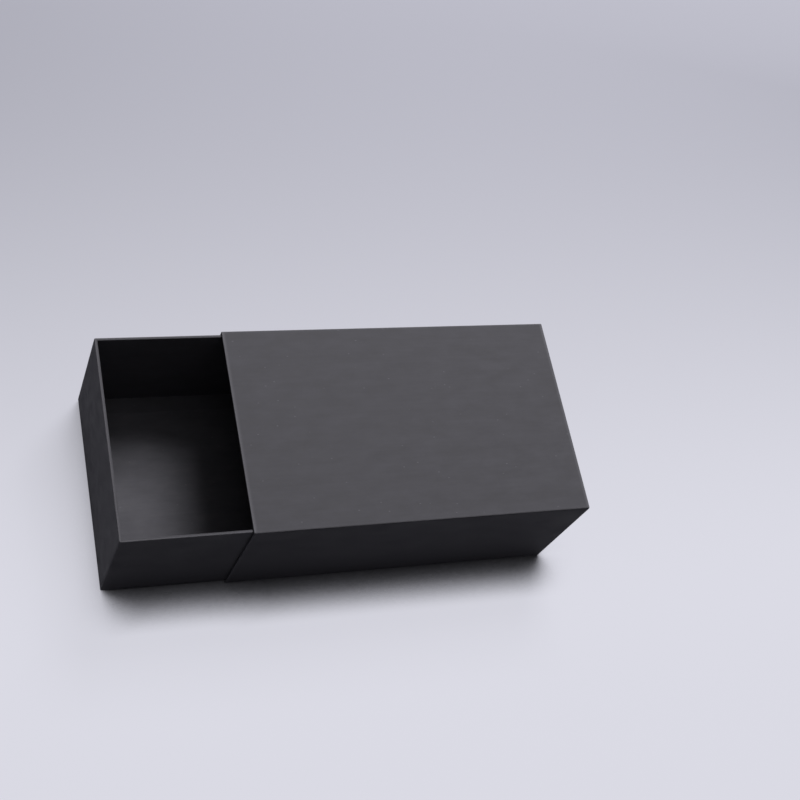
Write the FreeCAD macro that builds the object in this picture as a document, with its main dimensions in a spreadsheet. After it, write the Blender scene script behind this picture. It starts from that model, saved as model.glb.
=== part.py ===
import FreeCAD, Part
import math
import os

import Sketcher

# Sliding drawer gift box: a sleeve of four greyboard panels and a butt-jointed greyboard drawer,
# each covered with one sheet of black paper and lined with another. Millimetres.
# X runs along the slide, Z is up, and the origin is the centre of the sleeve's underside.
# Facing the drawer's front end, which looks along -X, left is +Y and right is -Y.

DRIVING_SIZES = {
    # sleeve, outside, over its paper
    "sleeve_length": 230,
    "sleeve_width": 140,
    "sleeve_height": 90,
    # boards
    "sleeve_board": 1,
    "drawer_board": 1.5,
    # papers: the covering sheets, the lining sheets, and the tape of the corner stays
    "wrap_paper": 0.15,
    "lining_paper": 0.12,
    "stay_tape": 0.1,
    # the sleeve's wrap goes round the board ends and this far into each mouth, where it is slit
    # at the corners, and each slit opens this wide
    "mouth_turn_in": 16,
    "corner_slit": 0.5,
    # the sleeve's lining starts this far inside each mouth, and steps down over this length
    "lining_setback": 3,
    "lining_step": 0.6,
    # running clearances of the drawer: beside it, under it, over its rim, and at each end
    "side_gap": 0.2,
    "floor_gap": 0.2,
    "head_gap": 0.4,
    "end_recess": 1.2,
    # how far the drawer's front end stands out of the sleeve
    "drawer_out": 81.5,
    # roundness of the drawer boards' outer edges, and of the paper over its rim
    "board_ease": 0.6,
    "rim_ease": 0.35,
    # the wrap's flange on the drawer's floor, how far the mitre between two flanges opens,
    # and the lining's distance from the walls
    "floor_flange": 12,
    "mitre_gap": 0.8,
    "lining_margin": 11,
    # corner stays: width of each leg, and how far they stop short of rim and base
    "stay_leg": 15,
    "stay_short": 3,
}

# The sleeve's section, and where its front mouth lies along the slide.
SLEEVE_SIDES = ("Sizes.sleeve_width", "Sizes.sleeve_height")
MOUTH = "(-Sizes.sleeve_length / 2)"

# Depth of each layer of the sleeve below its outer faces.
SLEEVE_BOARD_IN = "(Sizes.wrap_paper + Sizes.sleeve_board)"
TURN_IN_IN = "(2 * Sizes.wrap_paper + Sizes.sleeve_board)"
LINING_IN = "(Sizes.wrap_paper + Sizes.sleeve_board + Sizes.lining_paper)"
BORE_IN = "(2 * Sizes.wrap_paper + Sizes.sleeve_board + Sizes.lining_paper)"

# The drawer's outside, which follows from the bore and the clearances.
DRAWER_LENGTH = "(Sizes.sleeve_length - 2 * Sizes.end_recess)"
DRAWER_WIDTH = f"(Sizes.sleeve_width - 2 * {BORE_IN} - 2 * Sizes.side_gap)"
DRAWER_HEIGHT = f"(Sizes.sleeve_height - 2 * {BORE_IN} - Sizes.floor_gap - Sizes.head_gap)"

# Depth of each layer of the drawer's walls below its outer faces.
STAY_OUT = "Sizes.wrap_paper"
WALL_OUT = "(Sizes.wrap_paper + Sizes.stay_tape)"
WALL_IN = "(Sizes.wrap_paper + Sizes.stay_tape + Sizes.drawer_board)"
TRAY_IN = "(2 * Sizes.wrap_paper + Sizes.stay_tape + Sizes.drawer_board)"
FLANGE_IN = f"({TRAY_IN} + Sizes.floor_flange)"
WALL_HEIGHT = f"({DRAWER_HEIGHT} - 2 * Sizes.wrap_paper)"

# Heights in the drawer above its underside.
FLOOR_TOP = "(Sizes.wrap_paper + Sizes.drawer_board)"
FLANGE_TOP = "(2 * Sizes.wrap_paper + Sizes.drawer_board)"

# Where the drawer stands in the sleeve.
DRAWER_X = "(-Sizes.drawer_out - Sizes.end_recess)"
DRAWER_Z = f"({BORE_IN} + Sizes.floor_gap)"

doc = FreeCAD.newDocument("sliding_drawer_box")
sizes = doc.addObject("Spreadsheet::Sheet", "Sizes")
for row, (alias, value) in enumerate(DRIVING_SIZES.items(), start=1):
    sizes.set(f"A{row}", alias)
    sizes.set(f"B{row}", str(value))
    sizes.setAlias(f"B{row}", alias)
doc.recompute()

nodes = []


def value_of(expression):
    """The number that an expression on the sheet of sizes gives."""
    return float(sizes.evalExpression(expression))


def inset(side, depth):
    """The expression for a side of a rectangle that is drawn in by a depth at both ends."""
    return f"({side} - 2 * {depth})"


# ---- shared steps ----


def new_body(label):
    """A body that is written out as a piece of its own."""
    body = doc.addObject("PartDesign::Body", label)
    body.Label = label
    nodes.append(body)
    return body


def construction_body(label):
    """A body that only shapes another one."""
    return doc.addObject("PartDesign::Body", label)


def origin_plane(body, role):
    return next(p for p in body.Origin.OriginFeatures if p.Role == role)


def sketch_on(body, name, role, lift=None):
    """A sketch on an origin plane of the body, or lifted off it."""
    sketch = body.newObject("Sketcher::SketchObject", name)
    sketch.AttachmentSupport = [(origin_plane(body, role), "")]
    sketch.MapMode = "FlatFace"
    if lift:
        sketch.setExpression("AttachmentOffset.Base.z", lift)
    return sketch


def bind(sketch, constraint, expression):
    """Adds a driving constraint and ties it to the sheet."""
    index = sketch.addConstraint(constraint)
    sketch.setExpression(f"Constraints[{index}]", expression)


def draw_rectangle(sketch, across, upright):
    """A sharp rectangle centred on the sketch's origin."""
    x, y = value_of(across) / 2, value_of(upright) / 2
    corners = [(-x, -y), (x, -y), (x, y), (-x, y)]
    first = sketch.GeometryCount
    for i, start in enumerate(corners):
        end = corners[(i + 1) % 4]
        line = Part.LineSegment(FreeCAD.Vector(*start, 0), FreeCAD.Vector(*end, 0))
        sketch.addGeometry(line, False)
    bottom, right, top, left = range(first, first + 4)
    for side, following in ((bottom, right), (right, top), (top, left), (left, bottom)):
        sketch.addConstraint(Sketcher.Constraint("Coincident", side, 2, following, 1))
    for level in (bottom, top):
        sketch.addConstraint(Sketcher.Constraint("Horizontal", level))
    for plumb in (right, left):
        sketch.addConstraint(Sketcher.Constraint("Vertical", plumb))
    sketch.addConstraint(Sketcher.Constraint("Symmetric", bottom, 1, top, 1, -1, 1))
    bind(sketch, Sketcher.Constraint("DistanceX", bottom, 1, bottom, 2, 2 * x), across)
    bind(sketch, Sketcher.Constraint("DistanceY", right, 1, right, 2, 2 * y), upright)


def draw_polygon(sketch, points):
    """A closed outline through points that are each given as two expressions."""
    spots = [FreeCAD.Vector(value_of(x), value_of(y), 0) for x, y in points]
    for i, spot in enumerate(spots):
        sketch.addGeometry(Part.LineSegment(spot, spots[(i + 1) % len(spots)]), False)
    for i, (x, y) in enumerate(points):
        following = (i + 1) % len(points)
        sketch.addConstraint(Sketcher.Constraint("Coincident", i, 2, following, 1))
        bind(sketch, Sketcher.Constraint("DistanceX", -1, 1, i, 1, spots[i].x), x)
        bind(sketch, Sketcher.Constraint("DistanceY", -1, 1, i, 1, spots[i].y), y)


def draw_rounded_rectangle(sketch, across, upright, radius):
    """A rectangle with round corners, centred on the sketch's origin."""
    x, y, r = value_of(across) / 2, value_of(upright) / 2, value_of(radius)
    first = sketch.GeometryCount
    sides = [
        ((-x + r, -y), (x - r, -y)),
        ((x, -y + r), (x, y - r)),
        ((x - r, y), (-x + r, y)),
        ((-x, y - r), (-x, -y + r)),
    ]
    for start, end in sides:
        line = Part.LineSegment(FreeCAD.Vector(*start, 0), FreeCAD.Vector(*end, 0))
        sketch.addGeometry(line, False)
    centres = [(x - r, -y + r), (x - r, y - r), (-x + r, y - r), (-x + r, -y + r)]
    quarter = math.pi / 2
    for i, centre in enumerate(centres):
        circle = Part.Circle(FreeCAD.Vector(*centre, 0), FreeCAD.Vector(0, 0, 1), r)
        arc = Part.ArcOfCircle(circle, (i - 1) * quarter, i * quarter)
        sketch.addGeometry(arc, False)
    bottom, right, top, left = range(first, first + 4)
    lines = (bottom, right, top, left)
    arcs = tuple(range(first + 4, first + 8))
    for i, arc in enumerate(arcs):
        sketch.addConstraint(Sketcher.Constraint("Tangent", lines[i], 2, arc, 1))
        sketch.addConstraint(Sketcher.Constraint("Tangent", arc, 2, lines[(i + 1) % 4], 1))
    for level in (bottom, top):
        sketch.addConstraint(Sketcher.Constraint("Horizontal", level))
    for plumb in (right, left):
        sketch.addConstraint(Sketcher.Constraint("Vertical", plumb))
    for arc in arcs[1:]:
        sketch.addConstraint(Sketcher.Constraint("Equal", arcs[0], arc))
    sketch.addConstraint(Sketcher.Constraint("Symmetric", bottom, 1, top, 1, -1, 1))
    bind(sketch, Sketcher.Constraint("Radius", arcs[0], r), radius)
    bind(sketch, Sketcher.Constraint("DistanceX", left, 1, right, 1, 2 * x), across)
    bind(sketch, Sketcher.Constraint("DistanceY", bottom, 1, top, 1, 2 * y), upright)


def pad(body, sketch, name, length):
    """Thickens a sketch along its plane's normal."""
    feature = body.newObject("PartDesign::Pad", name)
    feature.Profile = sketch
    feature.setExpression("Length", length)
    body.Tip = feature
    doc.recompute()
    return feature


def pocket(body, sketch, name, depth):
    """Cuts a sketch into the body along its plane's normal, and makes sure that it did cut."""
    before = body.Shape.Volume
    feature = body.newObject("PartDesign::Pocket", name)
    feature.Profile = sketch
    feature.Reversed = True
    feature.setExpression("Length", depth)
    body.Tip = feature
    doc.recompute()
    if not body.Shape.Volume < before:
        raise RuntimeError(f"{name} cuts nothing from {body.Label}")
    return feature


def mirror(body, originals, name, role):
    """Repeats features on the other side of an origin plane."""
    feature = body.newObject("PartDesign::Mirrored", name)
    feature.Originals = originals
    feature.MirrorPlane = (origin_plane(body, role), [""])
    body.Tip = feature
    doc.recompute()
    return feature


def mirror_about(body, original, name, roles):
    """Repeats a feature on the other side of each of several origin planes."""
    feature = body.newObject("PartDesign::MultiTransform", name)
    feature.Originals = [original]
    steps = []
    for role in roles:
        step = body.newObject("PartDesign::Mirrored", f"{name}_{role}")
        step.MirrorPlane = (origin_plane(body, role), [""])
        steps.append(step)
    feature.Transformations = steps
    body.Tip = feature
    doc.recompute()
    return feature


def ease(body, name, radius, wanted):
    """Rounds the edges of the body's last feature whose middle passes a test."""
    base = body.Tip
    names = []
    for index, edge in enumerate(base.Shape.Edges, start=1):
        if wanted(edge.CenterOfMass, edge):
            names.append(f"Edge{index}")
    feature = body.newObject("PartDesign::Fillet", name)
    feature.Base = (base, names)
    feature.setExpression("Radius", radius)
    body.Tip = feature
    doc.recompute()
    return feature


def near(a, b):
    return abs(a - b) < 1e-4


def place(body, along=None, aside=None, up=None):
    """Ties a body's place to the sheet."""
    for axis, expression in (("x", along), ("y", aside), ("z", up)):
        if expression:
            body.setExpression(f"Placement.Base.{axis}", expression)


# ---- sleeve: its paper is modelled about the sleeve's middle, then raised to its place ----


def sleeve_panel(label, across, upright, aside, up):
    """A square-cut greyboard panel, as long as the sleeve less the paper over its two ends."""
    panel = new_body(label)
    length = inset("Sizes.sleeve_length", "Sizes.wrap_paper")
    section = sketch_on(panel, f"{label}_section", "YZ_Plane", lift=f"-{length} / 2")
    draw_rectangle(section, across, upright)
    pad(panel, section, f"{label}_length", length)
    place(panel, aside=aside, up=up)


def sleeve_panels():
    """Four panels whose inner edges meet, so that the paper rounds the open notch outside them."""
    board = "Sizes.sleeve_board"
    wide = inset("Sizes.sleeve_width", SLEEVE_BOARD_IN)
    tall = inset("Sizes.sleeve_height", SLEEVE_BOARD_IN)
    panel_middle = "(Sizes.wrap_paper + Sizes.sleeve_board / 2)"
    side_y = f"Sizes.sleeve_width / 2 - {panel_middle}"
    sleeve_panel(
        "sleeve_top_board", wide, board, None, f"Sizes.sleeve_height - {panel_middle}"
    )
    sleeve_panel("sleeve_bottom_board", wide, board, None, panel_middle)
    sleeve_panel("sleeve_left_board", board, tall, side_y, "Sizes.sleeve_height / 2")
    sleeve_panel("sleeve_right_board", board, tall, f"-({side_y})", "Sizes.sleeve_height / 2")


def sleeve_outline(sketch, depth, radius=None):
    """The sleeve's section at a depth below its outer faces."""
    across, upright = (inset(side, depth) for side in SLEEVE_SIDES)
    if radius:
        draw_rounded_rectangle(sketch, across, upright, radius)
    else:
        draw_rectangle(sketch, across, upright)


def corner_slits(wrap):
    """Parts the turned-in paper at the corners of both mouths, up to the fold."""
    cut = sketch_on(wrap, "section_of_slit", "YZ_Plane", lift=f"{MOUTH} + Sizes.wrap_paper")
    outer_y, outer_z = (f"({side} / 2 - {SLEEVE_BOARD_IN})" for side in SLEEVE_SIDES)
    inner_y, inner_z = (f"({side} / 2 - {TURN_IN_IN} - Sizes.corner_slit)" for side in SLEEVE_SIDES)
    corners = [(inner_y, inner_z), (outer_y, inner_z), (outer_y, outer_z), (inner_y, outer_z)]
    draw_polygon(cut, corners)
    first = pocket(wrap, cut, "first_slit", "Sizes.mouth_turn_in - Sizes.wrap_paper")
    mirror_about(wrap, first, "eight_slits", ("XZ_Plane", "XY_Plane", "YZ_Plane"))


def sleeve_wrap():
    """The covering sheet: round the four panels, over their ends and into both mouths."""
    wrap = new_body("sleeve_wrap")
    paper = "Sizes.wrap_paper"

    around = sketch_on(wrap, "wrap_around_panels", "YZ_Plane", lift=MOUTH)
    sleeve_outline(around, "0", f"(Sizes.sleeve_board + {paper})")
    sleeve_outline(around, paper, "Sizes.sleeve_board")
    pad(wrap, around, "sheet_around_panels", "Sizes.sleeve_length")

    over = sketch_on(wrap, "wrap_over_board_ends", "YZ_Plane", lift=MOUTH)
    sleeve_outline(over, "0", f"(Sizes.sleeve_board + {paper})")
    sleeve_outline(over, TURN_IN_IN)
    fold = pad(wrap, over, "sheet_over_board_ends", paper)

    inside = sketch_on(wrap, "wrap_turned_in", "YZ_Plane", lift=MOUTH)
    sleeve_outline(inside, SLEEVE_BOARD_IN)
    sleeve_outline(inside, TURN_IN_IN)
    turn_in = pad(wrap, inside, "sheet_turned_in", "Sizes.mouth_turn_in")

    mirror(wrap, [fold, turn_in], "other_mouth", "YZ_Plane")
    corner_slits(wrap)
    place(wrap, up="Sizes.sleeve_height / 2")


def sleeve_lining():
    """The inner sheet: on the panels in the middle, and up over the turn-in near each mouth."""
    lining = new_body("sleeve_lining")
    turn_in_edge = f"({MOUTH} + Sizes.mouth_turn_in)"

    middle = sketch_on(lining, "lining_on_panels", "YZ_Plane", lift=turn_in_edge)
    sleeve_outline(middle, SLEEVE_BOARD_IN)
    sleeve_outline(middle, LINING_IN)
    pad(lining, middle, "sheet_on_panels", inset("Sizes.sleeve_length", "Sizes.mouth_turn_in"))

    step = sketch_on(lining, "lining_step_up", "YZ_Plane", lift=turn_in_edge)
    sleeve_outline(step, SLEEVE_BOARD_IN)
    sleeve_outline(step, BORE_IN)
    rise = pad(lining, step, "sheet_step_up", "Sizes.lining_step")

    collar = sketch_on(
        lining, "lining_on_turn_in", "YZ_Plane", lift=f"{MOUTH} + Sizes.lining_setback"
    )
    sleeve_outline(collar, TURN_IN_IN)
    sleeve_outline(collar, BORE_IN)
    over = pad(
        lining,
        collar,
        "sheet_on_turn_in",
        "Sizes.mouth_turn_in - Sizes.lining_setback + Sizes.lining_step",
    )

    mirror(lining, [rise, over], "other_end", "YZ_Plane")
    place(lining, up="Sizes.sleeve_height / 2")


# ---- drawer: modelled about the centre of its own underside, then placed in the sleeve ----


def place_in_drawer(body, along="0", aside=None, up="0"):
    place(body, f"{DRAWER_X} + ({along})", aside, f"{DRAWER_Z} + ({up})")


def drawer_wall(label, length, breadth, along, aside, eased):
    """A greyboard wall standing on the wrap's underside, its outer edges eased."""
    wall = new_body(label)
    footprint = sketch_on(wall, f"{label}_footprint", "XY_Plane")
    draw_rectangle(footprint, length, breadth)
    pad(wall, footprint, f"{label}_height", WALL_HEIGHT)
    ease(wall, f"{label}_eased", "Sizes.board_ease", eased)
    place_in_drawer(wall, along, aside, "Sizes.wrap_paper")


def drawer_walls():
    """Two long walls of full length, with the short ones butted between them."""
    board = "Sizes.drawer_board"
    long_side = inset(DRAWER_LENGTH, WALL_OUT)
    short_side = inset(DRAWER_WIDTH, WALL_IN)
    wall_middle = f"({WALL_OUT} + Sizes.drawer_board / 2)"
    end_x = f"({DRAWER_LENGTH} / 2 - {wall_middle})"
    side_y = f"({DRAWER_WIDTH} / 2 - {wall_middle})"
    half_length = value_of(long_side) / 2
    half_board = value_of(board) / 2

    def long_wall_edges(outward):
        """The outer upright edges, and the bottom edges of the outer face and both ends."""

        def wanted(middle, edge):
            at_end = near(abs(middle.x), half_length)
            outer = near(middle.y, outward * half_board)
            upright = at_end and outer
            bottom = near(middle.z, 0) and (at_end or outer)
            return upright or bottom

        return wanted

    def short_wall_edge(outward):
        """The bottom edge of the outer face."""
        return lambda middle, edge: near(middle.z, 0) and near(middle.x, outward * half_board)

    drawer_wall("drawer_left_board", long_side, board, "0", side_y, long_wall_edges(1))
    drawer_wall("drawer_right_board", long_side, board, "0", f"-{side_y}", long_wall_edges(-1))
    drawer_wall("drawer_back_board", board, short_side, end_x, None, short_wall_edge(1))
    drawer_wall("drawer_front_board", board, short_side, f"-{end_x}", None, short_wall_edge(-1))


def drawer_base_board():
    """The floor panel, let in between the four walls."""
    base = new_body("drawer_base_board")
    footprint = sketch_on(base, "base_footprint", "XY_Plane")
    draw_rectangle(footprint, inset(DRAWER_LENGTH, WALL_IN), inset(DRAWER_WIDTH, WALL_IN))
    pad(base, footprint, "base_thickness", "Sizes.drawer_board")
    place_in_drawer(base, up="Sizes.wrap_paper")


def corner_stay(label, along, aside, turn):
    """A strip of paper tape bent round an upright corner, drawn with the corner at its origin."""
    stay = new_body(label)
    leg = value_of("Sizes.stay_leg")
    tape = value_of("Sizes.stay_tape")
    bend = value_of("Sizes.board_ease")
    sketch = sketch_on(stay, f"{label}_section", "XY_Plane")
    # The board corner is at the origin; both faces of the tape bend about one centre.
    outer = -tape
    straights = [
        ((bend, outer), (leg, outer)),
        ((leg, outer), (leg, 0)),
        ((leg, 0), (bend, 0)),
        ((0, bend), (0, leg)),
        ((0, leg), (outer, leg)),
        ((outer, leg), (outer, bend)),
    ]
    for start, end in straights:
        line = Part.LineSegment(FreeCAD.Vector(*start, 0), FreeCAD.Vector(*end, 0))
        sketch.addGeometry(line, False)
    centre = FreeCAD.Vector(bend, bend, 0)
    for radius in (bend, bend + tape):
        circle = Part.Circle(centre, FreeCAD.Vector(0, 0, 1), radius)
        sketch.addGeometry(Part.ArcOfCircle(circle, math.pi, 1.5 * math.pi), False)
    out_x, tip_x, in_x, in_y, tip_y, out_y, inner, outer_arc = range(8)
    for first, first_end, second, second_end in (
        (out_x, 2, tip_x, 1),
        (tip_x, 2, in_x, 1),
        (in_y, 2, tip_y, 1),
        (tip_y, 2, out_y, 1),
    ):
        sketch.addConstraint(
            Sketcher.Constraint("Coincident", first, first_end, second, second_end)
        )
    for line, line_end, arc, arc_end in (
        (in_x, 2, inner, 2),
        (inner, 1, in_y, 1),
        (out_y, 2, outer_arc, 1),
        (outer_arc, 2, out_x, 1),
    ):
        sketch.addConstraint(Sketcher.Constraint("Tangent", line, line_end, arc, arc_end))
    sketch.addConstraint(Sketcher.Constraint("Coincident", inner, 3, outer_arc, 3))
    for level in (in_x, tip_y):
        sketch.addConstraint(Sketcher.Constraint("Horizontal", level))
    for plumb in (tip_x, in_y):
        sketch.addConstraint(Sketcher.Constraint("Vertical", plumb))
    sketch.addConstraint(Sketcher.Constraint("PointOnObject", in_x, 1, -1))
    sketch.addConstraint(Sketcher.Constraint("PointOnObject", in_y, 1, -2))
    bind(sketch, Sketcher.Constraint("Radius", inner, bend), "Sizes.board_ease")
    bind(sketch, Sketcher.Constraint("DistanceY", tip_x, 1, tip_x, 2, tape), "Sizes.stay_tape")
    bind(sketch, Sketcher.Constraint("DistanceX", -1, 1, in_x, 1, leg), "Sizes.stay_leg")
    bind(sketch, Sketcher.Constraint("DistanceY", -1, 1, in_y, 2, leg), "Sizes.stay_leg")
    pad(stay, sketch, f"{label}_height", inset(WALL_HEIGHT, "Sizes.stay_short"))
    stay.Placement.Rotation = FreeCAD.Rotation(FreeCAD.Vector(0, 0, 1), turn)
    place_in_drawer(stay, along, aside, "Sizes.wrap_paper + Sizes.stay_short")


def corner_stays():
    front = f"-({DRAWER_LENGTH} / 2 - {WALL_OUT})"
    back = f"({DRAWER_LENGTH} / 2 - {WALL_OUT})"
    right = f"-({DRAWER_WIDTH} / 2 - {WALL_OUT})"
    left = f"({DRAWER_WIDTH} / 2 - {WALL_OUT})"
    corner_stay("stay_front_right", front, right, 0)
    corner_stay("stay_back_right", back, right, 90)
    corner_stay("stay_back_left", back, left, 180)
    corner_stay("stay_front_left", front, left, 270)


def drawer_outline(sketch, depth, radius=None):
    """The drawer's plan at a depth inside its outer faces."""
    length = inset(DRAWER_LENGTH, depth)
    breadth = inset(DRAWER_WIDTH, depth)
    if radius:
        draw_rounded_rectangle(sketch, length, breadth, radius)
    else:
        draw_rectangle(sketch, length, breadth)


def board_space():
    """What the drawer's wrap is folded round: the walls with their stays, and the base."""
    space = construction_body("board_space")
    paper = "Sizes.wrap_paper"
    plan = sketch_on(space, "plan_over_stays", "XY_Plane", lift=paper)
    drawer_outline(plan, STAY_OUT, "(Sizes.board_ease + Sizes.stay_tape)")
    pad(space, plan, "walls_and_base", WALL_HEIGHT)
    underside = value_of(paper)
    ease(
        space,
        "eased_underside",
        "Sizes.board_ease",
        lambda middle, edge: near(middle.z, underside),
    )
    hollow = sketch_on(space, "plan_inside_walls", "XY_Plane", lift=FLOOR_TOP)
    drawer_outline(hollow, WALL_IN)
    pocket(space, hollow, "inside_walls", DRAWER_HEIGHT)
    return space


def flange_mitres(block):
    """Cuts the flanges apart at the four corners: each cut starts at the corner of the walls,
    opens towards the floor and runs a little past the flanges' inner edges."""
    cut = sketch_on(block, "plan_of_mitre", "XY_Plane", lift=FLOOR_TOP)
    wall_x, wall_y = f"({DRAWER_LENGTH} / 2 - {TRAY_IN})", f"({DRAWER_WIDTH} / 2 - {TRAY_IN})"
    edge_x, edge_y = f"({DRAWER_LENGTH} / 2 - {FLANGE_IN})", f"({DRAWER_WIDTH} / 2 - {FLANGE_IN})"
    points = [
        (wall_x, wall_y),
        (edge_x, f"({edge_y} + Sizes.mitre_gap)"),
        (f"({edge_x} - Sizes.mitre_gap)", f"({edge_y} - Sizes.mitre_gap)"),
        (f"({edge_x} + Sizes.mitre_gap)", edge_y),
    ]
    draw_polygon(cut, points)
    first = pocket(block, cut, "first_mitre", "Sizes.wrap_paper")
    mirror_about(block, first, "four_mitres", ("XZ_Plane", "YZ_Plane"))


def covered_block():
    """The drawer as it looks once covered, with the floor left bare inside the flanges."""
    block = construction_body("covered_block")
    paper = "Sizes.wrap_paper"
    plan = sketch_on(block, "plan_outside", "XY_Plane")
    drawer_outline(plan, "0", f"(Sizes.board_ease + Sizes.stay_tape + {paper})")
    pad(block, plan, "outside", DRAWER_HEIGHT)
    ease(
        block,
        "underside_edges",
        f"(Sizes.board_ease + {paper})",
        lambda middle, edge: near(middle.z, 0),
    )
    hollow = sketch_on(block, "plan_inside", "XY_Plane", lift=FLANGE_TOP)
    drawer_outline(hollow, TRAY_IN)
    pocket(block, hollow, "tray_hollow", DRAWER_HEIGHT)
    rim = value_of(DRAWER_HEIGHT)
    ease(block, "rim_edges", "Sizes.rim_ease", lambda middle, edge: near(middle.z, rim))
    opening = sketch_on(block, "plan_inside_flanges", "XY_Plane", lift=FLOOR_TOP)
    drawer_outline(opening, FLANGE_IN)
    pocket(block, opening, "floor_inside_flanges", paper)
    flange_mitres(block)
    return block


def drawer_wrap():
    """The drawer's covering sheet, in one piece: under the base, up the walls, over the rim,
    down inside and out across the floor as four mitred flanges."""
    wrap = doc.addObject("Part::Cut", "drawer_wrap")
    wrap.Base = covered_block()
    wrap.Tool = board_space()
    wrap.Label = "drawer_wrap"
    nodes.append(wrap)
    place_in_drawer(wrap)


def drawer_lining():
    """The sheet on the drawer's floor. Its edge laps the flanges, and it is pressed down inside them."""
    lining = new_body("drawer_lining")
    edge = f"({TRAY_IN} + Sizes.lining_margin)"
    well = f"({FLANGE_IN} + Sizes.lining_step)"

    sheet = sketch_on(lining, "sheet_on_flanges", "XY_Plane", lift=FLANGE_TOP)
    drawer_outline(sheet, edge)
    pad(lining, sheet, "lining_sheet", "Sizes.lining_paper")

    pressed = sketch_on(lining, "sheet_on_floor", "XY_Plane", lift=FLOOR_TOP)
    drawer_outline(pressed, FLANGE_IN)
    pad(lining, pressed, "pressed_down", "Sizes.wrap_paper + Sizes.lining_paper")

    recess = sketch_on(
        lining, "well_in_floor", "XY_Plane", lift=f"{FLOOR_TOP} + Sizes.lining_paper"
    )
    drawer_outline(recess, well)
    pocket(lining, recess, "well", "Sizes.wrap_paper")
    place_in_drawer(lining)


sleeve_panels()
sleeve_wrap()
sleeve_lining()
drawer_walls()
drawer_base_board()
corner_stays()
drawer_wrap()
drawer_lining()
doc.recompute()

for item in doc.Objects:
    if "Invalid" in item.State or "Error" in item.State:
        raise RuntimeError(f"{item.Label} did not build: {item.State}")
for node in nodes:
    if node.Shape.isNull() or not node.Shape.isValid():
        raise RuntimeError(f"{node.Label} has no valid shape")
    if len(node.Shape.Solids) != 1:
        raise RuntimeError(f"{node.Label} is not one solid")

os.makedirs("parts", exist_ok=True)
for node in nodes:
    node.Shape.exportStep(f"parts/{node.Label}.step")
    print(f"{node.Label}: {node.Shape.Volume:.0f} mm3")
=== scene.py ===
import math

import bmesh
import bpy
from mathutils import Matrix, Vector, noise


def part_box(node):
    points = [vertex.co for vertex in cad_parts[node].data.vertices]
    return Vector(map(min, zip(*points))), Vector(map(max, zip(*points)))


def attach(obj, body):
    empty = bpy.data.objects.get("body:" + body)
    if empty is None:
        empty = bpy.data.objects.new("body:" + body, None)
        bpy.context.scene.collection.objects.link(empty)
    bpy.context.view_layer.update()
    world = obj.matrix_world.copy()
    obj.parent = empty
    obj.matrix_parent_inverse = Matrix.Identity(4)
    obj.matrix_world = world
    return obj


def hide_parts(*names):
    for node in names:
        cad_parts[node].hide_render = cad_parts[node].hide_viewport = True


# The looks of a sliding drawer gift box: greyboard under black paper. Metres, in the CAD frame:
# X runs along the slide, the drawer opens towards -X, Z is up, and the origin lies under the
# middle of the sleeve. Left is +Y and right is -Y, as for someone who faces the drawer's front.

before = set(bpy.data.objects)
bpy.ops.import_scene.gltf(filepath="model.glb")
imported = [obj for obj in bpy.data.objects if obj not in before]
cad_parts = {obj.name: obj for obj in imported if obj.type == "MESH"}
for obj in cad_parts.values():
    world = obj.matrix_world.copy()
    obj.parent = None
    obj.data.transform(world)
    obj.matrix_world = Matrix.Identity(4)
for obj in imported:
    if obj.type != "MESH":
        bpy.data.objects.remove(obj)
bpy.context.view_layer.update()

MM = 0.001
# places nearer than this are one place
SAME = 0.01 * MM
# a direction is parallel to an axis when the axis takes this share of it
PARALLEL = 0.999


# ---- sizes read from the frame ----

sleeve_low, sleeve_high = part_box("sleeve_wrap")
drawer_low, drawer_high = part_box("drawer_wrap")
lining_low, lining_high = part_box("sleeve_lining")
floor_sheet_low, floor_sheet_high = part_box("drawer_lining")
top_board_low, top_board_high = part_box("sleeve_top_board")
_, base_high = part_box("drawer_base_board")
front_board_low, front_board_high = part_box("drawer_front_board")
stay_low, stay_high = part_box("stay_front_left")

COVER_PAPER = sleeve_high.z - top_board_high.z
SLEEVE_BOARD = top_board_high.z - top_board_low.z
DRAWER_WALL = front_board_high.x - drawer_low.x + COVER_PAPER
STAY_TAPE = front_board_low.x - stay_low.x
STAY_LEG = stay_high.x - stay_low.x
STAY_SHORT = stay_low.z - drawer_low.z


# ---- sizes that the frame's boxes don't give ----

LINING_PAPER = 0.12 * MM
# the sleeve's covering is turned this far into each mouth
TURN_IN = 16 * MM
# the drawer's covering ends in flanges this wide on its floor, whose mitred ends nearly touch
FLANGE = 12 * MM
MITRE_GAP = 0.03 * MM
# along the sleeve's long edges the paper alone bridges the gap between two boards
HINGE_ROUND = SLEEVE_BOARD + COVER_PAPER
# roundness of the drawer's outer edges, of inner corners, and of the fold at each mouth
DRAWER_ROUND = 0.8 * MM
INNER_ROUND = 0.25 * MM
FOLD_ROUND = 0.3 * MM
# the rim is rounder outside, where the corner stays keep the paper off the board's edge
RIM_ROUND = 0.6 * MM
RIM_INNER_ROUND = 0.42 * MM
# the sleeve's covering has its ends butted this far from its underside's right edge
SEAM_FROM_SIDE = 14 * MM
# the flaps of the drawer's covering stop this short of its corners, on the end walls
FLAP_SHORT = 1.3 * MM
# where two edges of paper meet, they leave a furrow
FURROW_WIDTH = 0.4 * MM
FURROW_DEPTH = 0.1 * MM
# the drawer's covering comes down off a corner stay over this length
STAY_SLOPE = 1 * MM
# a lining comes down off the turned-in paper, or off the flanges, over this length
LINING_SLOPE = 1.2 * MM
FLOOR_SLOPE = 1.6 * MM
# a grid of cuts about this far apart lets a sheet follow its board's waves
CUT_SPACING = 8 * MM
# no cut of that grid falls this near a fold
CUT_MARGIN = 2 * MM
# the drawer's walls have a cut this near the base and the rim, where their flat part begins
WALL_FLAT_FROM = 1.5 * MM
# a wall's edge is longer than this, and the arcs at its corners are shorter
LONG_EDGE = 10 * MM
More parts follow.
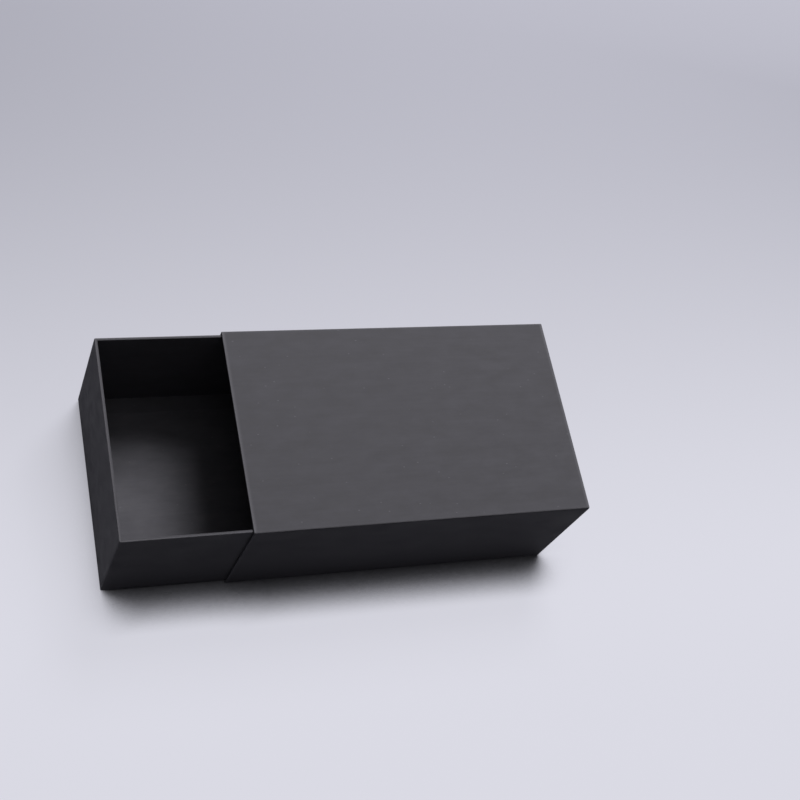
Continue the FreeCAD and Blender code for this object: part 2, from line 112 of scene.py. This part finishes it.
# glued board is never dead flat: its waves are this long and this deep
WAVE_LENGTH = 60 * MM
WAVE_DEPTH = 0.07 * MM
# the waves fade out over this distance from a fold
FOLD_REACH = 6 * MM
# the sheet on the drawer's floor has waves of its own
FLOOR_WAVES = Vector((7, 3, 1))
# paper is paler this far from a fold, from wear and as a painted highlight, fully at a box's
# corners and by this share elsewhere
WEAR_AND_HIGHLIGHT_REACH = 1.4 * MM
CORNER_REACH = 24 * MM
WEAR_AND_HIGHLIGHT_ON_EDGES = 0.7
# the table is a square this wide, and its glow carries a painted contact shadow this near the box
TABLE_SIZE = 5000 * MM
PAINTED_SHADOW_REACH = 32 * MM


# ---- building sheets ----


def box_shell(low, high):
    """A closed box between two corners."""
    bm = bmesh.new()
    place = Matrix.Translation((low + high) / 2) @ Matrix.Diagonal((*(high - low), 1))
    bmesh.ops.create_cube(bm, size=1, matrix=place)
    return bm


def runs_along(edge, axis):
    """Whether an edge is parallel to an axis."""
    run = edge.verts[1].co - edge.verts[0].co
    return abs(run[axis]) > PARALLEL * run.length


def round_over(bm, edges, radius, segments):
    """Rounds edges."""
    bmesh.ops.bevel(
        bm,
        geom=edges,
        offset=radius,
        offset_type="OFFSET",
        segments=segments,
        profile=0.5,
        affect="EDGES",
        material=-1,
        clamp_overlap=True,
    )


def open_tube(low, high, radius, segments):
    """A box between two corners, open at both ends along X and rounded along its long edges."""
    bm = box_shell(low, high)
    ends = [face for face in bm.faces if abs(face.normal.x) > PARALLEL]
    bmesh.ops.delete(bm, geom=ends, context="FACES")
    round_over(bm, [edge for edge in bm.edges if runs_along(edge, 0)], radius, segments)
    return bm


def open_edges(bm, axis, place):
    """The edges of the opening that lies at a place along an axis."""
    return [
        edge
        for edge in bm.edges
        if edge.is_boundary and all(abs(v.co[axis] - place) < SAME for v in edge.verts)
    ]


def extend(bm, rim):
    """Grows faces of no width yet from an open edge, and gives back their new verts and edges."""
    made = bmesh.ops.extrude_edge_only(bm, edges=rim)["geom"]
    verts = [part for part in made if isinstance(part, bmesh.types.BMVert)]
    fresh = set(verts)
    edges = [
        part
        for part in made
        if isinstance(part, bmesh.types.BMEdge) and all(v in fresh for v in part.verts)
    ]
    return verts, edges


def fold_over_edge(bm, rim, axis, low, high, old_round, depth, new_round):
    """Folds a sheet inwards over the edge of an opening with round corners, by a depth, and gives
    back the opening's new edge. Each corner's arc shrinks from its old radius to the new one."""
    verts, new_edge = extend(bm, rim)
    middle = (low + high) / 2
    for vert in verts:
        for across in (0, 1, 2):
            if across == axis:
                continue
            half = (high[across] - low[across]) / 2
            offset = vert.co[across] - middle[across]
            along_arc = (abs(offset) - (half - old_round)) / old_round
            inner = half - depth - new_round + along_arc * new_round
            vert.co[across] = middle[across] + math.copysign(inner, offset)
    return new_edge


def carry_on(bm, rim, move):
    """Extends a sheet from an open edge and gives back the new open edge."""
    verts, new_edge = extend(bm, rim)
    bmesh.ops.translate(bm, verts=verts, vec=move)
    return new_edge


def cut_at(bm, axis, places):
    """Cuts a sheet across at each place along an axis."""
    normal = Vector((0, 0, 0))
    normal[axis] = 1
    for place in places:
        bmesh.ops.bisect_plane(
            bm,
            geom=bm.verts[:] + bm.edges[:] + bm.faces[:],
            dist=SAME / 100,
            plane_co=normal * place,
            plane_no=normal,
        )


def grid_places(low, high):
    """Even places between two ends for the grid of cuts."""
    count = max(2, round((high - low) / CUT_SPACING))
    return [low + (high - low) * i / count for i in range(1, count)]


def face_sheet(bm, pick, upwards):
    """Makes all faces look to one side of the sheet. The highest face, or the lowest, as picked by
    max or min, shows which: it looks upwards or downwards."""
    bmesh.ops.recalc_face_normals(bm, faces=bm.faces[:])
    bm.normal_update()
    guide = pick(bm.faces, key=lambda face: face.calc_center_median().z)
    if (guide.normal.z > 0) != upwards:
        bmesh.ops.reverse_faces(bm, faces=bm.faces[:])


def make_piece(name, bm, thickness, material, body, stands_for):
    """Turns a bmesh of a sheet's outer face into a piece of that thickness on a body."""
    mesh = bpy.data.meshes.new(name)
    bm.normal_update()
    bm.to_mesh(mesh)
    bm.free()
    mesh.materials.append(material)
    mesh.shade_smooth()
    piece = bpy.data.objects.new(name, mesh)
    bpy.context.scene.collection.objects.link(piece)
    sheet = piece.modifiers.new("sheet", "SOLIDIFY")
    sheet.thickness = thickness
    sheet.offset = -1
    sheet.use_even_offset = True
    flat = piece.modifiers.new("flat_panels", "WEIGHTED_NORMAL")
    flat.keep_sharp = False
    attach(piece, body)
    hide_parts(stands_for)
    return piece


# ---- how a glued sheet lies ----


def smooth_step(share):
    """0 below 0, 1 above 1, and a soft rise between."""
    share = min(1.0, max(0.0, share))
    return share * share * (3 - 2 * share)


def depths_in_box(point, low, high):
    """How deep a point lies inside a box, from its nearest face on each axis, smallest first."""
    return sorted(min(point[a] - low[a], high[a] - point[a]) for a in (0, 1, 2))


def wave_at(place, shift=Vector((0, 0, 0))):
    """How strong the board's waves are at a place, from 0 to 1. A shift gives other waves."""
    return 0.5 + 0.5 * noise.noise(place / WAVE_LENGTH + shift)


def settle(bm, low, high, extra=None):
    """Lets the sheet on the faces of a box sink with its board's waves, and by an extra depth that
    a function gives for a vert."""
    bm.normal_update()
    moves = []
    for vert in bm.verts:
        on_face, from_edge, _ = depths_in_box(vert.co, low, high)
        if abs(on_face) > 2 * SAME or max(abs(share) for share in vert.normal) < PARALLEL:
            continue
        depth = WAVE_DEPTH * wave_at(vert.co) * smooth_step(from_edge / FOLD_REACH)
        if extra:
            depth += extra(vert)
        moves.append((vert, vert.normal.copy() * depth))
    for vert, move in moves:
        vert.co -= move


def mark_folds(bm, low, high):
    """Writes how pale the paper is from wear and from a painted highlight along its folds: most at
    a box's corners, less along its edges, and not at all at a reach from them."""
    layer = bm.verts.layers.float.new("wear_and_highlight")
    for vert in bm.verts:
        _, from_edge, from_corner = depths_in_box(vert.co, low, high)
        less = (1 - WEAR_AND_HIGHLIGHT_ON_EDGES) * smooth_step(from_corner / CORNER_REACH)
        vert[layer] = (1 - less) * (1 - smooth_step(from_edge / WEAR_AND_HIGHLIGHT_REACH))


def mark_without_wear_and_highlight(bm):
    """Writes that the paper has no wear and no painted highlight: a new layer holds 0 everywhere.
    """
    bm.verts.layers.float.new("wear_and_highlight")


def furrow_cuts(place):
    """Where to cut for a furrow at a place."""
    return [place - FURROW_WIDTH / 2, place, place + FURROW_WIDTH / 2]


# ---- the sleeve's two sheets ----


def sleeve_covering(material):
    """The sheet round the four panels, folded over their ends and turned into both mouths."""
    low, high = sleeve_low, sleeve_high
    bm = open_tube(low, high, HINGE_ROUND, segments=6)

    wall = 2 * COVER_PAPER + SLEEVE_BOARD
    folds = []
    for mouth, inwards in ((low.x, 1), (high.x, -1)):
        outer = open_edges(bm, 0, mouth)
        inner = fold_over_edge(bm, outer, 0, low, high, HINGE_ROUND, wall, INNER_ROUND)
        carry_on(bm, inner, Vector((inwards * TURN_IN, 0, 0)))
        folds += outer + inner
    round_over(bm, folds, FOLD_ROUND, segments=3)

    # The turned-in part is slit at its corners, inside the mouth and past the fold.
    middle_z = (high.z + low.z) / 2
    slit_y = high.y - wall - INNER_ROUND
    slit_z = high.z - middle_z - wall - INNER_ROUND
    slivers = []
    for face in bm.faces:
        spot = face.calc_center_median()
        at_corner = abs(spot.y) > slit_y and abs(spot.z - middle_z) > slit_z
        past_fold = abs(spot.x) < high.x - FOLD_ROUND
        _, from_outside, _ = depths_in_box(spot, low, high)
        if at_corner and past_fold and from_outside > 0.8 * wall:
            slivers.append(face)
    bmesh.ops.delete(bm, geom=slivers, context="FACES")

    for axis in (0, 1, 2):
        near, far = low[axis] + 2 * HINGE_ROUND, high[axis] - 2 * HINGE_ROUND
        cut_at(bm, axis, [near, far] + grid_places(near, far))
    seam = low.y + SEAM_FROM_SIDE
    cut_at(bm, 1, furrow_cuts(seam))
    face_sheet(bm, max, upwards=True)
    mark_folds(bm, low, high)

    def butt_seam(vert):
        """The sheet's two ends meet in a furrow under the sleeve."""
        at_seam = vert.normal.z < -PARALLEL and abs(vert.co.y - seam) < SAME
        return FURROW_DEPTH if at_seam else 0

    settle(bm, low, high, butt_seam)
    return make_piece(
        "sleeve_covering",
        bm,
        COVER_PAPER,
        material,
        body="sleeve",
        stands_for="sleeve_wrap",
    )


def sleeve_inner_sheet(material):
    """The lining of the sleeve: on the boards in the middle, up over the turn-ins at both ends."""
    face_in = COVER_PAPER + SLEEVE_BOARD + LINING_PAPER
    across = Vector((0, 1, 1))
    low = Vector((lining_low.x, sleeve_low.y, sleeve_low.z)) + across * face_in
    high = Vector((lining_high.x, sleeve_high.y, sleeve_high.z)) - across * face_in
    bm = open_tube(low, high, INNER_ROUND, segments=3)

    turn_in_edge = sleeve_high.x - TURN_IN
    foot = turn_in_edge - LINING_SLOPE
    cut_at(bm, 0, [-turn_in_edge, turn_in_edge, -foot, foot])
    middle = (low + high) / 2
    for vert in bm.verts:
        if abs(vert.co.x) > turn_in_edge - SAME:
            for axis in (1, 2):
                vert.co[axis] -= math.copysign(COVER_PAPER, vert.co[axis] - middle[axis])
    for axis in (0, 1, 2):
        cut_at(bm, axis, grid_places(low[axis] + CUT_MARGIN, high[axis] - CUT_MARGIN))
    # Its visible side looks into the sleeve.
    face_sheet(bm, max, upwards=False)
    mark_without_wear_and_highlight(bm)
    return make_piece(
        "sleeve_inner_sheet",
        bm,
        LINING_PAPER,
        material,
        body="sleeve",
        stands_for="sleeve_lining",
    )


# ---- the drawer's two sheets ----


def drawer_covering(material):
    """The drawer's sheet, in one piece: under the base, up the walls, over the rim, down inside
    and out across the floor as four mitred flanges."""
    low, high = drawer_low, drawer_high
    bm = box_shell(low, high)
    lid = [face for face in bm.faces if face.normal.z > PARALLEL]
    bmesh.ops.delete(bm, geom=lid, context="FACES")
    rounded = [e for e in bm.edges if runs_along(e, 2) or not e.is_boundary]
    round_over(bm, rounded, DRAWER_ROUND, segments=5)

    rim = open_edges(bm, 2, high.z)
    inner = fold_over_edge(bm, rim, 2, low, high, DRAWER_ROUND, DRAWER_WALL, INNER_ROUND)
    flange_top = base_high.z + COVER_PAPER
    foot = carry_on(bm, inner, Vector((0, 0, flange_top - high.z)))

    # A flange runs out from the foot of each wall, its ends cut to a mitre.
    middle = (low + high) / 2
    walls_foot = [e for e in foot if e.calc_length() > LONG_EDGE]
    for edge in walls_foot:
        verts, _ = extend(bm, [edge])
        across = 1 if runs_along(edge, 0) else 0
        for axis, inwards in ((across, FLANGE), (1 - across, FLANGE + MITRE_GAP / 2)):
            for vert in verts:
                vert.co[axis] -= math.copysign(inwards, vert.co[axis] - middle[axis])
    round_over(bm, rim, RIM_ROUND, segments=4)
    round_over(bm, inner, RIM_INNER_ROUND, segments=4)
    fold_at_floor = [
        e
        for e in bm.edges
        if not e.is_boundary
        and e.calc_length() > LONG_EDGE
        and all(abs(v.co.z - flange_top) < SAME for v in e.verts)
    ]
    round_over(bm, fold_at_floor, INNER_ROUND, segments=2)

    for axis in (0, 1):
        near, far = low[axis] + CUT_MARGIN, high[axis] - CUT_MARGIN
        past_stays = [low[axis] + STAY_LEG, high[axis] - STAY_LEG]
        drawn_in = [low[axis] + STAY_LEG + STAY_SLOPE, high[axis] - STAY_LEG - STAY_SLOPE]
        cut_at(bm, axis, [near, far] + past_stays + drawn_in + grid_places(near, far))
    cut_at(bm, 2, [low.z + WALL_FLAT_FROM, high.z - WALL_FLAT_FROM])
    near, far = low.z + STAY_SHORT, high.z - STAY_SHORT
    cut_at(bm, 2, [near, far] + grid_places(near, far))
    flap_edge = high.y - FLAP_SHORT
    cut_at(bm, 1, furrow_cuts(flap_edge) + furrow_cuts(-flap_edge))
    face_sheet(bm, min, upwards=False)
    mark_folds(bm, low, high)

    def drawn_down(vert):
        """Between the corner stays the outer walls' sheet lies lower by the stays' tape, and the
        end walls' flaps end in a furrow."""
        if vert.normal.z < -PARALLEL:
            return 0
        lengthways = 0 if abs(vert.normal.y) > PARALLEL else 1
        spot = vert.co
        from_corner = min(spot[lengthways] - low[lengthways], high[lengthways] - spot[lengthways])
        from_fold = min(spot.z - low.z, high.z - spot.z)
        past_stay = smooth_step((from_corner - STAY_LEG) / STAY_SLOPE)
        lower = STAY_TAPE * past_stay * smooth_step(from_fold / STAY_SHORT)
        at_flap = lengthways == 1 and abs(abs(spot.y) - flap_edge) < SAME
        return lower + (FURROW_DEPTH if at_flap else 0)

    settle(bm, low, high, drawn_down)
    walls = Vector((DRAWER_WALL, DRAWER_WALL, 0))
    settle(bm, low + walls + Vector((0, 0, flange_top - low.z)), high - walls)
    return make_piece(
        "drawer_covering",
        bm,
        COVER_PAPER,
        material,
        body="drawer",
        stands_for="drawer_wrap",
    )


def drawer_floor_sheet(material):
    """The sheet on the drawer's floor, with the flanges' edges showing through it."""
    low, high = floor_sheet_low, floor_sheet_high
    middle = (low + high) / 2
    bm = bmesh.new()
    place = Matrix.Translation((middle.x, middle.y, high.z))
    size = Matrix.Diagonal((high.x - low.x, high.y - low.y, 1, 1))
    bmesh.ops.create_grid(bm, x_segments=1, y_segments=1, size=0.5, matrix=place @ size)
    # The sheet drops off the flanges over a short slope, and its own waves stand twice as high.
    lap = FLANGE - (low.x - drawer_low.x - DRAWER_WALL)
    for axis in (0, 1):
        for past_lap in (0, FLOOR_SLOPE / 2, FLOOR_SLOPE):
            near, far = low[axis] + lap + past_lap, high[axis] - lap - past_lap
            cut_at(bm, axis, [near, far])
        cut_at(bm, axis, grid_places(near, far))
    mark_without_wear_and_highlight(bm)
    for vert in bm.verts:
        from_side = min(min(vert.co[a] - low[a], high[a] - vert.co[a]) for a in (0, 1))
        past_lap = from_side - lap
        wave = 2 * WAVE_DEPTH * wave_at(vert.co, FLOOR_WAVES)
        vert.co.z -= COVER_PAPER * smooth_step(past_lap / FLOOR_SLOPE)
        vert.co.z += wave * smooth_step((past_lap - FLOOR_SLOPE) / FOLD_REACH)
    face_sheet(bm, max, upwards=True)
    return make_piece(
        "drawer_floor_sheet",
        bm,
        LINING_PAPER,
        material,
        body="drawer",
        stands_for="drawer_lining",
    )


# ---- finishes ----


def linear(channel):
    """One sRGB channel from 0 to 1 as linear light."""
    return channel / 12.92 if channel <= 0.04045 else ((channel + 0.055) / 1.055) ** 2.4


def colour(code):
    """An sRGB hex colour as linear red, green, blue and alpha."""
    return (*(linear(int(code[i : i + 2], 16) / 255) for i in (1, 3, 5)), 1.0)


def per_metre(size_in_mm):
    """The texture scale that gives features of a size."""
    return 1 / (size_in_mm * MM)


def add_node(tree, kind, settings=None, **links):
    """Adds a node, sets its properties and sockets, and links sockets to other nodes' outputs. A
    socket is called by its name or by its number, which a link writes as _0, _1 and so on."""
    node = tree.nodes.new(kind)
    for key, value in (settings or {}).items():
        if isinstance(key, int) or key in node.inputs:
            node.inputs[key].default_value = value
        else:
            setattr(node, key, value)
    for key, source in links.items():
        socket = int(key[1:]) if key[1:].isdigit() else key.replace("_", " ")
        tree.links.new(source, node.inputs[socket])
    return node


def new_material(name):
    """An empty material and its node tree."""
    material = bpy.data.materials.new(name)
    material.use_nodes = True
    material.node_tree.nodes.clear()
    return material, material.node_tree


def black_paper(name, dark, light, wear_and_highlight, roughness, nub, specular):
    """Dyed-through black paper, pressed smooth on its felt side and glued down. It is cloudy where
    the fibres bunch, faintly streaked along the sheet by the press rolls, dotted with stray fibres,
    dull in its sheen, and paler on the folds, where the dyed surface wears off and where a painted
    highlight stands for the light that the folds catch."""
    material, tree = new_material(name)
    place = add_node(tree, "ShaderNodeTexCoord").outputs["Object"]
    # Fibres lie mostly along the sheet's length.
    along = add_node(tree, "ShaderNodeMapping", {"Scale": (0.45, 1, 1)}, Vector=place).outputs[0]
    rolled = add_node(tree, "ShaderNodeMapping", {"Scale": (0.035, 1, 1)}, Vector=place).outputs[0]
    cloud = add_node(
        tree,
        "ShaderNodeTexNoise",
        {"Scale": per_metre(9), "Detail": 4, "Roughness": 0.6},
        Vector=along,
    ).outputs["Fac"]
    streaks = add_node(
        tree, "ShaderNodeTexNoise", {"Scale": per_metre(1.6), "Detail": 2}, Vector=rolled
    ).outputs["Fac"]
    # Single fibres are 0.03 mm wide; the nubs are drawn as coarse as they need to show.
    fibres = add_node(
        tree,
        "ShaderNodeTexNoise",
        {"Scale": per_metre(nub), "Detail": 3, "Roughness": 0.7},
        Vector=along,
    ).outputs["Fac"]
    # A stray fibre shows as a paler dot of about 0.3 mm, one every 5 mm or so.
    stray = add_node(
        tree, "ShaderNodeTexVoronoi", {"Scale": per_metre(5)}, Vector=along
    ).outputs["Distance"]
    speck = add_node(
        tree, "ShaderNodeMapRange", {"From Min": 0.07, "From Max": 0.04, "To Max": 0.4}, Value=stray
    ).outputs[0]

    mottled = add_node(
        tree, "ShaderNodeMix", {"data_type": "FLOAT", "Factor": 0.2}, _2=cloud, _3=streaks
    ).outputs[0]
    uneven = add_node(
        tree, "ShaderNodeMapRange", {"From Min": 0.3, "From Max": 0.7}, Value=mottled
    ).outputs[0]
    grey = add_node(
        tree,
        "ShaderNodeMix",
        {"data_type": "RGBA", 6: colour(dark), 7: colour(light)},
        _0=uneven,
    ).outputs[2]
    # Paler where the paper wears, and a painted highlight along the folds, as the sheet's attribute
    # gives.
    wear_and_highlight_mask = add_node(tree, "ShaderNodeAttribute", {"attribute_name": "wear_and_highlight"}).outputs["Fac"]
    patchy = add_node(
        tree, "ShaderNodeMath", {"operation": "MULTIPLY"}, _0=wear_and_highlight_mask, _1=fibres
    ).outputs[0]
    wear_highlight_and_specks = add_node(
        tree, "ShaderNodeMath", {"operation": "MAXIMUM"}, _0=patchy, _1=speck
    ).outputs[0]
    surface = add_node(
        tree, "ShaderNodeMix", {"data_type": "RGBA", 7: colour(wear_and_highlight)}, _0=wear_highlight_and_specks, _6=grey
    ).outputs[2]
    # Its sheen varies a little from cloud to cloud.
    swing = 0.08
    rough = add_node(
        tree,
        "ShaderNodeMapRange",
        {"To Min": roughness - swing, "To Max": roughness + swing},
        Value=uneven,
    ).outputs[0]
    fine = add_node(
        tree, "ShaderNodeBump", {"Strength": 0.6, "Distance": 0.03 * MM}, Height=fibres
    ).outputs[0]
    bump = add_node(
        tree, "ShaderNodeBump", {"Strength": 0.5, "Distance": 0.06 * MM}, Height=cloud, Normal=fine
    ).outputs[0]
    shader = add_node(
        tree,
        "ShaderNodeBsdfPrincipled",
        {"IOR": 1.45, "Specular IOR Level": specular},
        Base_Color=surface,
        Roughness=rough,
        Normal=bump,
    ).outputs[0]
    add_node(tree, "ShaderNodeOutputMaterial", Surface=shader)
    return material


def greyboard():
    """Solid board of pressed waste paper: dull grey-brown, cloudy, with darker and paler flecks."""
    material, tree = new_material("greyboard_recycled")
    place = add_node(tree, "ShaderNodeTexCoord").outputs["Object"]
    cloud = add_node(
        tree, "ShaderNodeTexNoise", {"Scale": per_metre(6), "Detail": 5}, Vector=place
    ).outputs["Fac"]
    flecks = add_node(
        tree, "ShaderNodeTexVoronoi", {"Scale": per_metre(1.2)}, Vector=place
    ).outputs["Color"]
    base = add_node(
        tree,
        "ShaderNodeMix",
        {"data_type": "RGBA", 6: colour("#7f7a70"), 7: colour("#9a9488")},
        _0=cloud,
    ).outputs[2]
    mixed = add_node(
        tree,
        "ShaderNodeMix",
        {"data_type": "RGBA", "blend_type": "OVERLAY", 0: 0.18},
        _6=base,
        _7=flecks,
    ).outputs[2]
    bump = add_node(
        tree, "ShaderNodeBump", {"Strength": 0.6, "Distance": 0.06 * MM}, Height=cloud
    ).outputs[0]
    shader = add_node(
        tree,
        "ShaderNodeBsdfPrincipled",
        {"IOR": 1.45, "Roughness": 0.92, "Specular IOR Level": 0.3},
        Base_Color=mixed,
        Normal=bump,
    ).outputs[0]
    add_node(tree, "ShaderNodeOutputMaterial", Surface=shader)
    return material


def gummed_tape():
    """Brown kraft tape with a gummed back: long pale fibres in a warm brown, slightly glossy."""
    material, tree = new_material("kraft_tape_gummed")
    place = add_node(tree, "ShaderNodeTexCoord").outputs["Object"]
    upright = add_node(tree, "ShaderNodeMapping", {"Scale": (1, 1, 0.12)}, Vector=place).outputs[0]
    fibres = add_node(
        tree, "ShaderNodeTexNoise", {"Scale": per_metre(0.9), "Detail": 4}, Vector=upright
    ).outputs["Fac"]
    brown = add_node(
        tree,
        "ShaderNodeMix",
        {"data_type": "RGBA", 6: colour("#8a6238"), 7: colour("#b98d5c")},
        _0=fibres,
    ).outputs[2]
    bump = add_node(
        tree, "ShaderNodeBump", {"Strength": 0.4, "Distance": 0.03 * MM}, Height=fibres
    ).outputs[0]
    shader = add_node(
        tree,
        "ShaderNodeBsdfPrincipled",
        {"IOR": 1.45, "Roughness": 0.55, "Specular IOR Level": 0.5},
        Base_Color=brown,
        Normal=bump,
    ).outputs[0]
    add_node(tree, "ShaderNodeOutputMaterial", Surface=shader)
    return material


def seen_share(tree):
    """1 for what the camera, a gloss or a glass sees, and 0 for light on its way to a surface."""
    path = add_node(tree, "ShaderNodeLightPath").outputs
    mirrored = add_node(
        tree,
        "ShaderNodeMath",
        {"operation": "MAXIMUM"},
        _0=path["Is Glossy Ray"],
        _1=path["Is Transmission Ray"],
    ).outputs[0]
    return add_node(
        tree, "ShaderNodeMath", {"operation": "MAXIMUM"}, _0=path["Is Camera Ray"], _1=mirrored
    ).outputs[0]


def table_top():
    """Matt backdrop card, pale and cool. Most of its brightness is a glow of its own, which keeps
    it even at the front and far off. Only what is seen of it is so bright: the light that it sends
    to the box is that of a duller grey, as if the table were small. Near the box the glow carries a
    painted contact shadow."""
    material, tree = new_material("matt_backdrop_card")
    place = add_node(tree, "ShaderNodeTexCoord").outputs["Object"]
    # From the back to the front, in metres.
    across = add_node(tree, "ShaderNodeSeparateXYZ", Vector=place).outputs["Y"]
    front = add_node(
        tree,
        "ShaderNodeMapRange",
        {"interpolation_type": "SMOOTHSTEP", "From Min": 0.42, "From Max": -0.12},
        Value=across,
    ).outputs[0]
    seen = seen_share(tree)
    own_grey = add_node(
        tree,
        "ShaderNodeMix",
        {"data_type": "RGBA", 6: colour("#acacb7"), 7: colour("#4e4e52")},
        _0=front,
    ).outputs[2]
    card = add_node(
        tree, "ShaderNodeMix", {"data_type": "RGBA", 6: colour("#58585d")}, _0=seen, _7=own_grey
    ).outputs[2]
    matt = add_node(tree, "ShaderNodeBsdfDiffuse", Color=card).outputs[0]
    near_lift = add_node(tree, "ShaderNodeMapRange", {"To Max": 0.71}, Value=front).outputs[0]
    distance = add_node(
        tree, "ShaderNodeVectorMath", {"operation": "LENGTH"}, Vector=place
    ).outputs["Value"]
    far_lift = add_node(
        tree,
        "ShaderNodeMapRange",
        {"interpolation_type": "SMOOTHSTEP", "From Min": 0.4, "From Max": 2.2, "To Max": 0.76},
        Value=distance,
    ).outputs[0]
    lift = add_node(
        tree, "ShaderNodeMath", {"operation": "MAXIMUM"}, _0=near_lift, _1=far_lift
    ).outputs[0]
    # Painted shadow: the glow dims near what stands on the card, most on the side away from the
    # light.
    lit_from = Vector((-0.5, 0.7, 0.5)).normalized()
    towards_light = add_node(
        tree, "ShaderNodeCombineXYZ", {"X": lit_from.x, "Y": lit_from.y, "Z": lit_from.z}
    ).outputs[0]
    painted_shadow_occlusion = add_node(
        tree,
        "ShaderNodeAmbientOcclusion",
        {"samples": 16, "Distance": PAINTED_SHADOW_REACH},
        Normal=towards_light,
    ).outputs["AO"]
    clear = add_node(
        tree,
        "ShaderNodeMapRange",
        {"interpolation_type": "SMOOTHSTEP", "From Min": 0.42, "From Max": 1.0},
        Value=painted_shadow_occlusion,
    ).outputs[0]
    glow_under_painted_shadow = add_node(
        tree, "ShaderNodeMath", {"operation": "MULTIPLY"}, _0=clear, _1=lift
    ).outputs[0]
    lift_seen = add_node(
        tree, "ShaderNodeMath", {"operation": "MULTIPLY"}, _0=seen, _1=glow_under_painted_shadow
    ).outputs[0]
    glow = add_node(
        tree, "ShaderNodeEmission", {"Color": colour("#f4f4ff")}, Strength=lift_seen
    ).outputs[0]
    both = add_node(tree, "ShaderNodeAddShader", None, _0=matt, _1=glow).outputs[0]
    add_node(tree, "ShaderNodeOutputMaterial", Surface=both)
    return material


# ---- the box ----

covering = black_paper(
    "black_wove_covering_paper",
    dark="#4d4c50",
    light="#555459",
    wear_and_highlight="#7e7d83",
    roughness=0.62,
    nub=0.9,
    specular=0.045,
)
lining = black_paper(
    "black_wove_lining_paper",
    dark="#525156",
    light="#5d5c61",
    wear_and_highlight="#79787d",
    roughness=0.8,
    nub=0.7,
    specular=0.03,
)
sleeve_covering(covering)
sleeve_inner_sheet(lining)
drawer_covering(covering)
drawer_floor_sheet(lining)

# The boards and the corner stays keep their CAD meshes.
board, tape = greyboard(), gummed_tape()
for name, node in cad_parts.items():
    finish = tape if name.startswith("stay_") else board
    node.data.materials.clear()
    node.data.materials.append(finish)


# ---- floor, light and camera ----


def studio_floor():
    """The table that the box stands on."""
    bm = bmesh.new()
    bmesh.ops.create_grid(bm, x_segments=1, y_segments=1, size=TABLE_SIZE / 2)
    mesh = bpy.data.meshes.new("studio_floor")
    bm.to_mesh(mesh)
    bm.free()
    mesh.materials.append(table_top())
    floor = bpy.data.objects.new("studio_floor", mesh)
    bpy.context.scene.collection.objects.link(floor)


def turn_to(place, aim):
    """The turn that makes a lamp or a camera at a place look at a point."""
    return (Vector(aim) - Vector(place)).to_track_quat("-Z", "Y")


def soft_light(name, place, width, watts):
    """A square white softbox that looks at the middle of the sleeve's underside."""
    lamp = bpy.data.lights.new(name, "AREA")
    lamp.shape = "SQUARE"
    lamp.size = width
    lamp.energy = watts
    holder = bpy.data.objects.new(name, lamp)
    holder.location = place
    holder.rotation_euler = turn_to(place, (0, 0, 0)).to_euler()
    bpy.context.scene.collection.objects.link(holder)


def world_light(strength, tint, seen):
    """An even, dim light from all round, seen as a pale backdrop."""
    world = bpy.data.worlds.new("studio")
    world.use_nodes = True
    tree = world.node_tree
    tree.nodes.clear()
    dim = add_node(
        tree, "ShaderNodeBackground", {"Color": colour(tint), "Strength": strength}
    ).outputs[0]
    pale = add_node(
        tree, "ShaderNodeBackground", {"Color": colour(seen), "Strength": 1}
    ).outputs[0]
    mixed = add_node(
        tree, "ShaderNodeMixShader", None, _0=seen_share(tree), _1=dim, _2=pale
    ).outputs[0]
    add_node(tree, "ShaderNodeOutputWorld", Surface=mixed)
    bpy.context.scene.world = world


def camera(place, aim, roll_degrees, lens):
    """A camera that looks at a point, rolled about its line of sight."""
    lens_data = bpy.data.cameras.new("camera")
    lens_data.lens = lens
    lens_data.sensor_width = 36
    holder = bpy.data.objects.new("camera", lens_data)
    holder.location = place
    roll = Matrix.Rotation(math.radians(roll_degrees), 3, "Z")
    holder.rotation_euler = (turn_to(place, aim).to_matrix() @ roll).to_euler()
    bpy.context.scene.collection.objects.link(holder)
    bpy.context.scene.camera = holder


studio_floor()
soft_light("key_softbox", place=(0.32, 0.86, 1.48), width=0.65, watts=29.8)
soft_light("overhead_fill", place=(0, 0, 1.3), width=1.2, watts=1.9)
world_light(strength=0.035, tint="#f4f5ff", seen="#e0e0ea")
camera(
    place=(-0.3445, -0.3616, 0.8934), aim=(0.01643, 0.03645, 0.045), roll_degrees=34.915, lens=65
)
bpy.context.scene.view_settings.view_transform = "Standard"
